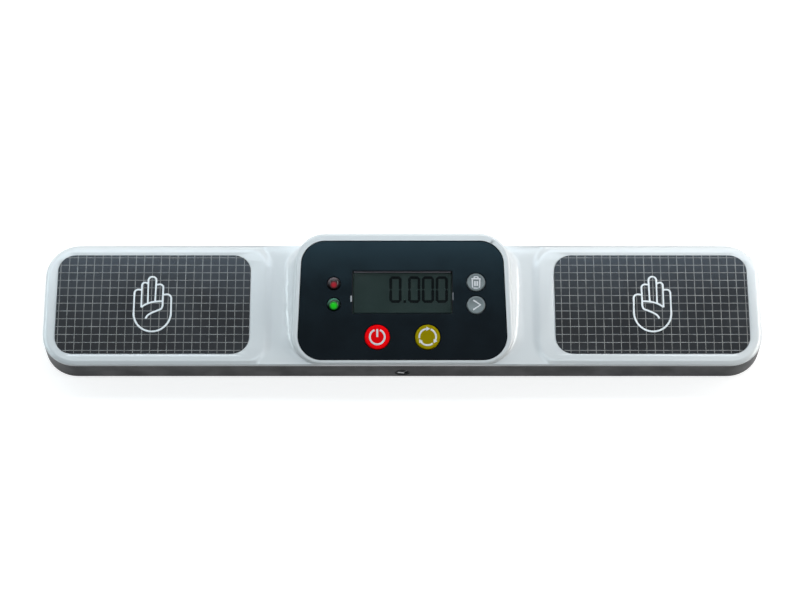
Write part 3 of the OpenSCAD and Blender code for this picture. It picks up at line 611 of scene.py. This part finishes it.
panelLook = {
    "panelEdge": 0.22 * mm,
    "coverEdge": 0.12 * mm,
    "plateEdge": 0.1 * mm,
    # painted reflection: the gloss's blue sheen tints the panel's reflections, standing in for bluish light
    "gloss": {"color": (0.0036, 0.0024, 0.0032), "rough": 0.14, "mottle": 0.08, "cloudScale": 18,
              "grain": 0.02, "grainScale": 900, "specular": 0.115, "sheen": (0.42, 0.80, 1.0)},
    "back": {"color": (0.009, 0.019, 0.018), "rough": 0.42, "mottle": 0.04, "cloudScale": 60,
             "grain": 0.0, "specular": 0.15},
    "ink": {"color": (0.001, 0.002, 0.003), "rough": 0.5, "specular": 0.02, "mottle": 0.05, "grain": 0.0},
    "inkSink": 0.03 * mm,     # keeps the digits clear of the cover glass above them
    "inkGrow": 0.17 * mm,     # widens the bars all round, nearer to the photograph's
    "holder": {"color": (0.010, 0.011, 0.012), "rough": 0.45, "specular": 0.2, "grain": 0.2},
    "glass": {"tint": (0.93, 0.97, 0.96), "smear": 0.97, "smearScale": 50, "haze": (0.5, 0.55, 0.54),
              "hazeShare": 0.006},
    # glassEdgeHighlight: a pale strip under the cover glass's rear edge, a painted highlight for the light
    # line along that edge
    "glassEdgeHighlight": {"color": (0.10, 0.085, 0.105), "rough": 0.4, "grain": 0.0, "width": 0.24, "thick": 0.06,
                  "shorter": 0.4, "inset": 0.25, "level": -0.47},
    "clips": {
        # the two clips are one metal: the left one's pale colour is a painted glint, the right one's darker
        # colour painted shade
        "left": {"color": (0.34, 0.35, 0.37), "rough": 0.4,
                 "size": (0.6, 2.4, 0.16), "place": (-20.42, 0.65, 0)},
        "right": {"color": (0.13, 0.14, 0.155), "rough": 0.4,
                  "size": (0.4, 3.0, 0.16), "place": (20.13, 1.63, 0)},
    },
    "stripRound": 0.3,        # rounding of a strip's edges, as a share of its least side
}


def clearFinish(name, look):  # thin clear plate: a tinted see-through with a faint haze
    material, tree, shader, coords = startMaterial(name)
    tree.nodes.remove(shader)
    through = tree.nodes.new("ShaderNodeBsdfTransparent")
    smear = spreadOf(tree, noiseOf(tree, coords, look["smearScale"], 4), 0, 1)
    tint = colorMix(tree, smear, look["tint"], shade(look["tint"], look["smear"]))
    tree.links.new(tint, through.inputs["Color"])
    veil = colorNode(tree, "ShaderNodeBsdfDiffuse", look["haze"])
    surface = shaderMix(tree, look["hazeShare"], through.outputs[0], veil)
    tree.links.new(surface, tree.nodes["Material Output"].inputs["Surface"])
    return material


panelGloss = mouldedFinish("panelGloss", panelLook["gloss"])
displayBack = mouldedFinish("displayBack", panelLook["back"])
displayInk = mouldedFinish("displayInk", panelLook["ink"])
displayGlass = clearFinish("displayGlass", panelLook["glass"])
glassEdgeHighlightGrey = mouldedFinish("glassEdgeHighlightGrey", panelLook["glassEdgeHighlight"])
holderBlack = mouldedFinish("holderBlack", panelLook["holder"])

makeCadPiece("displayPanel", "front_panel", panelGloss, degrees=30,
             edge=panelLook["panelEdge"])
makeCadPiece("displayCover", "lcd_front_glass", displayGlass, edge=panelLook["coverEdge"])
makeCadPiece("displayPlate", "lcd_rear_glass", displayBack, edge=panelLook["plateEdge"])
digits = makeCadPiece("displayDigits", "lcd_segments", displayInk)
for vert in digits.data.vertices:
    across = vert.normal - slopeNormal * vert.normal.dot(slopeNormal)
    vert.co += across.normalized() * panelLook["inkGrow"] - slopeNormal * panelLook["inkSink"]
makeCadPiece("displayHolder", "lcd_frame", holderBlack)


def makeStrip(name, size, place, material):  # a small flat bar on the slope
    mesh = bevelledBar(name, size, min(size) * panelLook["stripRound"])
    onSlope(mesh, *place)
    finishPiece(addObject(name, mesh), material)


for clipSide, look in panelLook["clips"].items():
    clipTin = mouldedFinish(clipSide + "ClipTin", look)
    makeStrip(clipSide + "Clip", look["size"], look["place"], clipTin)
# painted highlight: a pale strip along the cover glass's rear edge
look = panelLook["glassEdgeHighlight"]
glassLow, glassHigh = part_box("lcd_front_glass")
glassLength = (glassHigh.x - glassLow.x) / mm
glassRear = (slopePlace.inverted() @ Vector((0, glassHigh.y, glassHigh.z))).y / mm
makeStrip("glassEdgeHighlight", (glassLength - look["shorter"], look["width"], look["thick"]),
          (slopeMiddle("lcd_front_glass")[0], glassRear - look["inset"], look["level"]),
          glassEdgeHighlightGrey)
print("display ready")


# push buttons: turned caps with a printed sign

buttonLook = {
    "proud": 0.45,            # the cap's top above the panel, in millimetres as the rest
    "edgeRound": 0.38,
    "flangeLow": -2.2,
    "flangeHigh": -1.6,
    "flangeOut": 0.75,
    "flangeRound": 0.1,
    "dishSteps": ((0.62, 0.0), (0.85, 0.5), (1.1, 1.0)),  # inside the rim, and the share of the dish there
    "dish": {"power": 0.0, "reset": 0.0, "delete": 0.12, "next": 0.12},
    # middle: the share of the colour in the painted-shade middle of the cap
    "red": {"color": (1.0, 0.001, 0.004), "rough": 0.27, "mottle": 0.04, "grain": 0.1, "specular": 0.02,
            "middle": 0.84},
    "olive": {"color": (0.34, 0.26, 0.0), "rough": 0.36, "mottle": 0.06, "grain": 0.3, "grainScale": 5200,
              "specular": 0.02, "middle": 0.9},
    "shadedMiddleRadius": 2.6,        # the painted shade in the middle of the two large caps
    "shadedMiddleFade": 0.3,
    "grey": {"color": (0.135, 0.165, 0.172), "rough": 0.32, "mottle": 0.04, "grain": 0.1, "specular": 0.5},
    "stem": {"color": (0.012, 0.012, 0.013), "rough": 0.45, "grain": 0.1},
    "sign": {"color": (0.66, 0.66, 0.68), "rough": 0.4, "mottle": 0.04, "grain": 0.1},
    "signHeight": 0.07,
}

signLook = {
    "power": {"width": 0.78, "paths": [
        (arcPoints(0, 0, 2.95, 111, 429, 40), False), ([(0, 3.2), (0, 0)], False)]},
    "reset": {"width": 0.72, "headsAt": (90, -30, 210), "headRing": 3.3, "headRadius": 0.98,
              "paths": [(arcPoints(0, 0, 3.3, 188 - 120 * k, 98 - 120 * k, 16), False) for k in range(3)]},
    "delete": {"width": 0.6, "paths": [
        ([(-1.85, 1.4), (1.85, 1.4)], False),
        ([(-0.8, 1.4), (-0.7, 2.3), (0.7, 2.3), (0.8, 1.4)], False),
        ([(-1.5, 1.4), (-1.4, -2.4), (1.4, -2.4), (1.5, 1.4)], False),
        ([(-0.45, 0.5), (-0.42, -1.4)], False), ([(0.45, 0.5), (0.42, -1.4)], False)]},
    "next": {"width": 0.68, "paths": [([(-1.15, 1.95), (1.75, 0.05), (-1.15, -1.9)], False)]},
}


def shadedMiddleFinish(name, look, node):  # a moulded cap whose middle is painted a little darker: painted shade that leaves the rim reading lighter
    material = mouldedFinish(name, look)
    tree = material.node_tree
    color = tree.nodes["Principled BSDF"].inputs["Base Color"]
    coords = tree.nodes["Texture Coordinate"].outputs["Object"]
    middle = slopePoint(*slopeMiddle(node), buttonLook["proud"])
    shadeRadius, fade = buttonLook["shadedMiddleRadius"], buttonLook["shadedMiddleFade"]
    inside = spreadOf(tree, distanceTo(tree, coords, middle), 1, 0, (shadeRadius - fade) * mm, (shadeRadius + fade) * mm)
    plain = color.links[0].from_socket
    tree.links.new(colorMix(tree, inside, plain, shade(look["color"], look["middle"])), color)
    return material


def capTop(key):
    return buttonLook["proud"] - buttonLook["dish"][key]


def makeCap(key, material):
    node = key + "_button"
    low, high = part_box(node)
    out = (high.x - low.x) / 2 / mm
    r = out - buttonLook["flangeOut"]
    proud, bend = buttonLook["proud"], buttonLook["edgeRound"]
    foot, ledge, nick = buttonLook["flangeLow"], buttonLook["flangeHigh"], buttonLook["flangeRound"]
    profile = [(0, foot), (out - nick, foot), (out, foot + nick),
               (out, ledge - nick), (out - nick, ledge), (r, ledge)]
    for a in (0, 20, 40, 60, 78):
        a = math.radians(a)
        profile.append((r - bend + bend * math.cos(a), proud - bend + bend * math.sin(a)))
    for inwards, share in buttonLook["dishSteps"]:
        profile.append((r - inwards, proud - buttonLook["dish"][key] * share))
    profile.append((0, capTop(key)))
    mesh = latheProfile(key + "Cap", profile, steps=72)
    smoothByAngle(mesh, degrees=35)
    onSlope(mesh, *slopeMiddle(node))
    finishPiece(addObject(key + "Cap", mesh), material, node, [node])


def layOnCap(name, mesh, key):
    onSlope(mesh, *slopeMiddle(key + "_button"), capTop(key))
    finishPiece(addObject(name, mesh), signInk, key + "_button")


def arrowHeads(name, look):
    bm = bmesh.new()
    for degrees in look["headsAt"]:
        a = math.radians(degrees)
        flat = bmesh.ops.create_circle(bm, cap_ends=True, segments=3, radius=look["headRadius"] * mm)
        faces = list({f for vert in flat["verts"] for f in vert.link_faces})
        made = bmesh.ops.extrude_face_region(bm, geom=faces)
        raised = [g for g in made["geom"] if isinstance(g, bmesh.types.BMVert)]
        bmesh.ops.translate(bm, vec=(0, 0, buttonLook["signHeight"] * mm / 2), verts=raised)
        whole = list({w for vert in raised for f in vert.link_faces for w in f.verts})
        ring = look["headRing"] * mm
        shift = Matrix.Translation((ring * math.cos(a), ring * math.sin(a), 0))
        bmesh.ops.transform(bm, matrix=shift @ Matrix.Rotation(a - math.pi, 4, "Z"), verts=whole)
    bmesh.ops.recalc_face_normals(bm, faces=bm.faces)
    return meshFrom(bm, name)


buttonRed = shadedMiddleFinish("buttonRed", buttonLook["red"], "power_button")
buttonOlive = shadedMiddleFinish("buttonOlive", buttonLook["olive"], "reset_button")
buttonGrey = mouldedFinish("buttonGrey", buttonLook["grey"])
signInk = mouldedFinish("signInk", buttonLook["sign"])
stemBlack = mouldedFinish("stemBlack", buttonLook["stem"])

makeCap("power", buttonRed)
makeCap("reset", buttonOlive)
makeCap("delete", buttonGrey)
makeCap("next", buttonGrey)
for key, look in signLook.items():
    sign = inkStrokes(key + "Sign", look["paths"], look["width"], buttonLook["signHeight"])
    layOnCap(key + "Sign", sign, key)
    if "headsAt" in look:
        layOnCap(key + "Heads", arrowHeads(key + "Heads", look), key)
for key in signLook:
    makeCadPiece(key + "Stem", key + "_plunger", stemBlack, body=key + "_button")
print("buttons ready")


# lamps: dark glossy domes with a glow that shows low in each, and a painted highlight round the rim

lampLook = {
    "radius": 2.5,
    "domeMiddle": -0.6,       # height of the dome's centre over the panel's face
    "foot": -3.85,
    "flange": 2.9,
    "flangeThick": 1.0,
    "spotDown": 0.85,         # how far down the slope the glow sits
    "paintedRimLightFrom": (0.25, -0.75, 0.3),  # beside the lamp's middle: the painted rim highlight is furthest from here
    "paintedRimLightFade": (2.35, 3.0),   # distances from paintedRimLightFrom where the painted rim highlight begins and is full
    "gloss": (0.14, 0.2),
    "glossScale": 400,
    "specular": 0.18,
    "coreShare": 0.3,         # the core's own colour under its glow
    # rim: a painted highlight colour, paler than the body, laid round the dome away from paintedRimLightFrom
    "red": {"body": (0.016, 0.010, 0.012), "rim": (0.16, 0.13, 0.14), "core": (0.55, 0.010, 0.030),
            "glow": 0.42, "spot": (0.3, 1.8)},
    "green": {"body": (0.004, 0.020, 0.010), "rim": (0.10, 0.26, 0.18), "core": (0.002, 0.80, 0.006),
              "glow": 0.43, "spot": (0.5, 2.2)},
    "leads": {"radius": 0.25, "length": 2.9, "out": 1.27, "middle": -4.85},
    "steel": {"color": (0.62, 0.64, 0.67), "rough": 0.26},
}

brightSteel = metalFinish("brightSteel", lampLook["steel"])


def lampFinish(name, look, spot, paintedRimLightFrom):
    material, tree, shader, coords = startMaterial(name)
    spotStart, spotEnd = (far * mm for far in look["spot"])
    paintedRimLightStart, paintedRimLightEnd = (far * mm for far in lampLook["paintedRimLightFade"])
    near = spreadOf(tree, distanceTo(tree, coords, spot), 1, 0, spotStart, spotEnd)
    # painted highlight: the dome turns from its body colour to the pale rim colour
    rim = spreadOf(tree, distanceTo(tree, coords, paintedRimLightFrom), 0, 1, paintedRimLightStart, paintedRimLightEnd)
    ground = colorMix(tree, rim, look["body"], look["rim"])
    core = shade(look["core"], lampLook["coreShare"])
    tree.links.new(colorMix(tree, near, ground, core), shader.inputs["Base Color"])
    gloss = spreadOf(tree, noiseOf(tree, coords, lampLook["glossScale"], 4), *lampLook["gloss"])
    tree.links.new(gloss, shader.inputs["Roughness"])
    shader.inputs["Specular IOR Level"].default_value = lampLook["specular"]
    shader.inputs["Emission Color"].default_value = (*look["core"], 1)
    tree.links.new(mathOf(tree, "MULTIPLY", near, look["glow"]), shader.inputs["Emission Strength"])
    return material


def makeLamp(key):
    name, node = key + "Lamp", key + "_led"
    u, v = slopeMiddle(node)
    r, middle, foot = lampLook["radius"], lampLook["domeMiddle"], lampLook["foot"]
    flange, ledge = lampLook["flange"], foot + lampLook["flangeThick"]
    profile = [(0, foot), (flange, foot), (flange, ledge), (r, ledge)] + arcPoints(0, middle, r, 0, 90, 15)
    lens = latheProfile(name, profile)
    smoothByAngle(lens, degrees=40)
    onSlope(lens, u, v)
    down = lampLook["spotDown"]
    spot = slopePoint(u, v - down, middle + math.sqrt(r * r - down * down))
    aside, below, above = lampLook["paintedRimLightFrom"]
    glow = lampFinish(name + "Glow", lampLook[key], spot, slopePoint(u + aside, v + below, above))
    finishPiece(addObject(name, lens), glow, stands=[node])
    leads, look = bmesh.new(), lampLook["leads"]
    for side in (-1, 1):
        made = bmesh.ops.create_cone(leads, cap_ends=True, segments=12, radius1=look["radius"] * mm,
                                     radius2=look["radius"] * mm, depth=look["length"] * mm)
        bmesh.ops.translate(leads, vec=(side * look["out"] * mm, 0, look["middle"] * mm), verts=made["verts"])
    leadMesh = meshFrom(leads, key + "Leads")
    onSlope(leadMesh, u, v)
    finishPiece(addObject(key + "Leads", leadMesh), brightSteel)


makeLamp("red")
makeLamp("green")
print("lamps ready")


# data jack, fasteners, feet

jackLook = {
    "black": {"color": (0.045, 0.045, 0.048), "rough": 0.46, "specular": 0.12, "grain": 0.3},
    "bodyEdge": 0.12 * mm,
    "steel": {"color": (0.34, 0.35, 0.36), "rough": 0.34},
    "barrelEdge": 0.1 * mm,
    "frontBand": 0.1 * mm,    # what lies this near the barrel's front end moves in with it
    "sink": 0.8 * mm,         # how far the metal barrel starts behind the plastic nose
    "leaf": {"size": (2.8, 1.6, 0.9), "edge": 0.1, "place": (-0.6, -25.1, 4.55), "turn": 14},
}

fastenerLook = {
    "steel": {"color": (0.48, 0.49, 0.51), "rough": 0.3},
    "rubber": {"color": (0.010, 0.0105, 0.0115), "rough": 0.75, "grain": 0.5, "grainScale": 1800,
               "specular": 0.3},
    "footEdge": 0.15 * mm,
}

jackBlack = mouldedFinish("jackBlack", jackLook["black"])
jackSteel = metalFinish("jackSteel", jackLook["steel"])
screwSteel = metalFinish("screwSteel", fastenerLook["steel"])
rubber = mouldedFinish("footRubber", fastenerLook["rubber"])

makeCadPiece("jackBody", "jack_block", jackBlack, edge=jackLook["bodyEdge"])
barrel = makeCadPiece("jackBarrel", "jack_sleeve", jackSteel, edge=jackLook["barrelEdge"])
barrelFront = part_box("jack_sleeve")[0].y
for vert in barrel.data.vertices:
    if vert.co.y < barrelFront + jackLook["frontBand"]:
        vert.co.y += jackLook["sink"]
look = jackLook["leaf"]
leafMesh = bevelledBar("jackLeaf", look["size"], look["edge"])
leafTurn = Matrix.Rotation(math.radians(look["turn"]), 4, "Y")
leafMesh.transform(Matrix.Translation(Vector(look["place"]) * mm) @ leafTurn)
finishPiece(addObject("jackLeaf", leafMesh), jackSteel)
makeCadPiece("housingScrews", "housing_screws", screwSteel)
makeCadPiece("boardScrews", "board_screws", screwSteel)
makeCadPiece("rubberFeet", "rubber_feet", rubber, edge=fastenerLook["footEdge"])


# batteries and their springs

cellLook = {
    "foot": [(0, 0.25), (3.0, 0.25), (3.3, 0)],             # radius and height over the flat end, in mm
    "footRim": [(-0.6, 0), (-0.1, 0.1), (0, 0.5)],          # radius beside the cell's own
    "shoulder": [(0, -1.6), (-0.25, -1.15), (-0.9, -1.0)],  # the same, and height under the button's top
    "button": [(0, -1.4), (1.8, -1.4), (1.8, -0.25), (1.6, -0.05), (0, 0)],
    "wrap": (0.02, 0.065, 0.16),
    "scuffed": (0.1, 0.15, 0.22),
    "scuffMost": 0.25,
    "scuffScale": 700,
    "bandColor": (0.55, 0.56, 0.58),
    "bandSpan": (4.0, 11.0),  # from the button's end
    "gloss": (0.22, 0.34),
    "glossScale": 120,
    "metal": 0.35,
}


def wrapFinish(name, low, high):  # printed sleeve: dark blue with a pale band near the button end
    material, tree, shader, coords = startMaterial(name)
    along = axesOf(tree, coords)["X"]
    inside = mathOf(tree, "MULTIPLY", mathOf(tree, "GREATER_THAN", along, low),
                    mathOf(tree, "LESS_THAN", along, high))
    rubbed = noiseOf(tree, coords, cellLook["scuffScale"], 4)
    scuff = spreadOf(tree, rubbed, 0, cellLook["scuffMost"], 0.5, 0.8)
    wrap = colorMix(tree, scuff, cellLook["wrap"], cellLook["scuffed"])
    tree.links.new(colorMix(tree, inside, wrap, cellLook["bandColor"]), shader.inputs["Base Color"])
    gloss = spreadOf(tree, noiseOf(tree, coords, cellLook["glossScale"], 3), *cellLook["gloss"])
    tree.links.new(gloss, shader.inputs["Roughness"])
    shader.inputs["Metallic"].default_value = cellLook["metal"]
    return material


def makeCell(name, node, facing):  # facing 1 has its button to the right
    low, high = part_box(node)
    r = (high.y - low.y) / 2 / mm
    length = (high.x - low.x) / mm
    footX, buttonX = (low.x, high.x) if facing > 0 else (high.x, low.x)
    turn = Matrix.Rotation(math.radians(90 * facing), 4, "Y")
    place = Matrix.Translation((footX, (low.y + high.y) / 2, (low.z + high.z) / 2)) @ turn
    rim = [(r + a, b) for a, b in cellLook["footRim"]]
    shoulder = [(r + a, length + b) for a, b in cellLook["shoulder"]]
    profile = cellLook["foot"] + rim + shoulder + [(0, shoulder[-1][1])]
    bandLow, bandHigh = sorted(buttonX - facing * far * mm for far in cellLook["bandSpan"])
    wrap = wrapFinish(name + "Wrap", bandLow, bandHigh)
    sleeve = latheProfile(name, profile, steps=48)
    tip = latheProfile(name + "Tip", [(a, length + b) for a, b in cellLook["button"]], steps=32)
    for mesh in (sleeve, tip):
        mesh.transform(place)
        smoothByAngle(mesh, degrees=40)
    finishPiece(addObject(name, sleeve), wrap, stands=[node])
    finishPiece(addObject(name + "Tip", tip), brightSteel)


makeCell("frontBattery", "front_cell", 1)
makeCell("rearBattery", "rear_cell", -1)

springLook = {  # in millimetres
    "turns": 3,
    "stepsPerTurn": 22,
    "start": 0.35,
    "length": 3.45,
    "wide": 3.6,
    "narrow": 2.2,
    "wire": 0.3,
}


def springLine(startX, cell, facing):
    low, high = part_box(cell)
    turns, wide, narrow = springLook["turns"], springLook["wide"], springLook["narrow"]
    steps = springLook["stepsPerTurn"] * turns
    points = []
    for i in range(steps + 1):
        t = i / steps
        r = (wide + (narrow - wide) * t) * mm
        a = 2 * math.pi * turns * t
        x = startX + facing * (springLook["start"] + springLook["length"] * t) * mm
        points.append((x, (low.y + high.y) / 2 + r * math.cos(a), (low.z + high.z) / 2 + r * math.sin(a)))
    return points


springLow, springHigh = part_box("cell_springs")
springPaths = [(springLine(springLow.x, "front_cell", 1), False),
               (springLine(springHigh.x, "rear_cell", -1), False)]
springMesh = roundRods("cellSprings", springPaths, springLook["wire"] * mm, roundness=3)
finishPiece(addObject("cellSprings", springMesh), brightSteel, stands=["cell_springs"])
print("jack, batteries and fasteners ready")


# what is inside, mostly out of sight

insideLook = {
    "boardGreen": {"color": (0.012, 0.12, 0.055), "rough": 0.33, "mottle": 0.12, "cloudScale": 300,
                   "grain": 0.2},
    "chipBlack": {"color": (0.014, 0.014, 0.015), "rough": 0.5, "grain": 0.25},
    "partTan": {"color": (0.32, 0.20, 0.10), "rough": 0.4},
    "switchGrey": {"color": (0.33, 0.34, 0.35), "rough": 0.5},
    "stripPink": {"color": (0.55, 0.25, 0.26), "rough": 0.6},
    "redWire": {"color": (0.5, 0.03, 0.025), "rough": 0.42},
    "yellowWire": {"color": (0.62, 0.42, 0.02), "rough": 0.42},
}
copperLook = {"color": (0.62, 0.30, 0.14), "rough": 0.3}

insideFinish = {name: mouldedFinish(name, look) for name, look in insideLook.items()}
insideFinish["plateCopper"] = metalFinish("plateCopper", copperLook)
insideFinish["brightSteel"] = brightSteel

insidePieces = {  # piece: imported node, finish, material slot
    "leftElectrode": ("left_sensor_plate", "plateCopper", "copper"),
    "rightElectrode": ("right_sensor_plate", "plateCopper", "copper"),
    "zebraStrips": ("zebra_strips", "stripPink", "elastomer"),
    "circuitBoard": ("main_board", "boardGreen", "board_green"),
    "timerChip": ("timer_chip", "chipBlack", "chip_black"),
    "clockCrystal": ("crystal", "brightSteel", "bright_steel"),
    "boardParts": ("board_parts", "partTan", "ceramic_tan"),
    "pushSwitches": ("switch_bodies", "switchGrey", "switch_grey"),
    "jackTabs": ("jack_terminals", "brightSteel", "bright_steel"),
    "linkPlate": ("link_contact", "brightSteel", "bright_steel"),
    "endPlates": ("terminal_contacts", "brightSteel", "bright_steel"),
    "batteryWires": ("battery_wires", "redWire", "wire_red"),
    "jackWires": ("jack_wires", "yellowWire", "wire_yellow"),
    "leftPadWire": ("left_sensor_wire", "redWire", "wire_red"),
    "rightPadWire": ("right_sensor_wire", "redWire", "wire_red"),
}
for pieceName, (node, finish, slotName) in insidePieces.items():
    makeCadPiece(pieceName, node, insideFinish[finish], degrees=50)
print("inside ready")
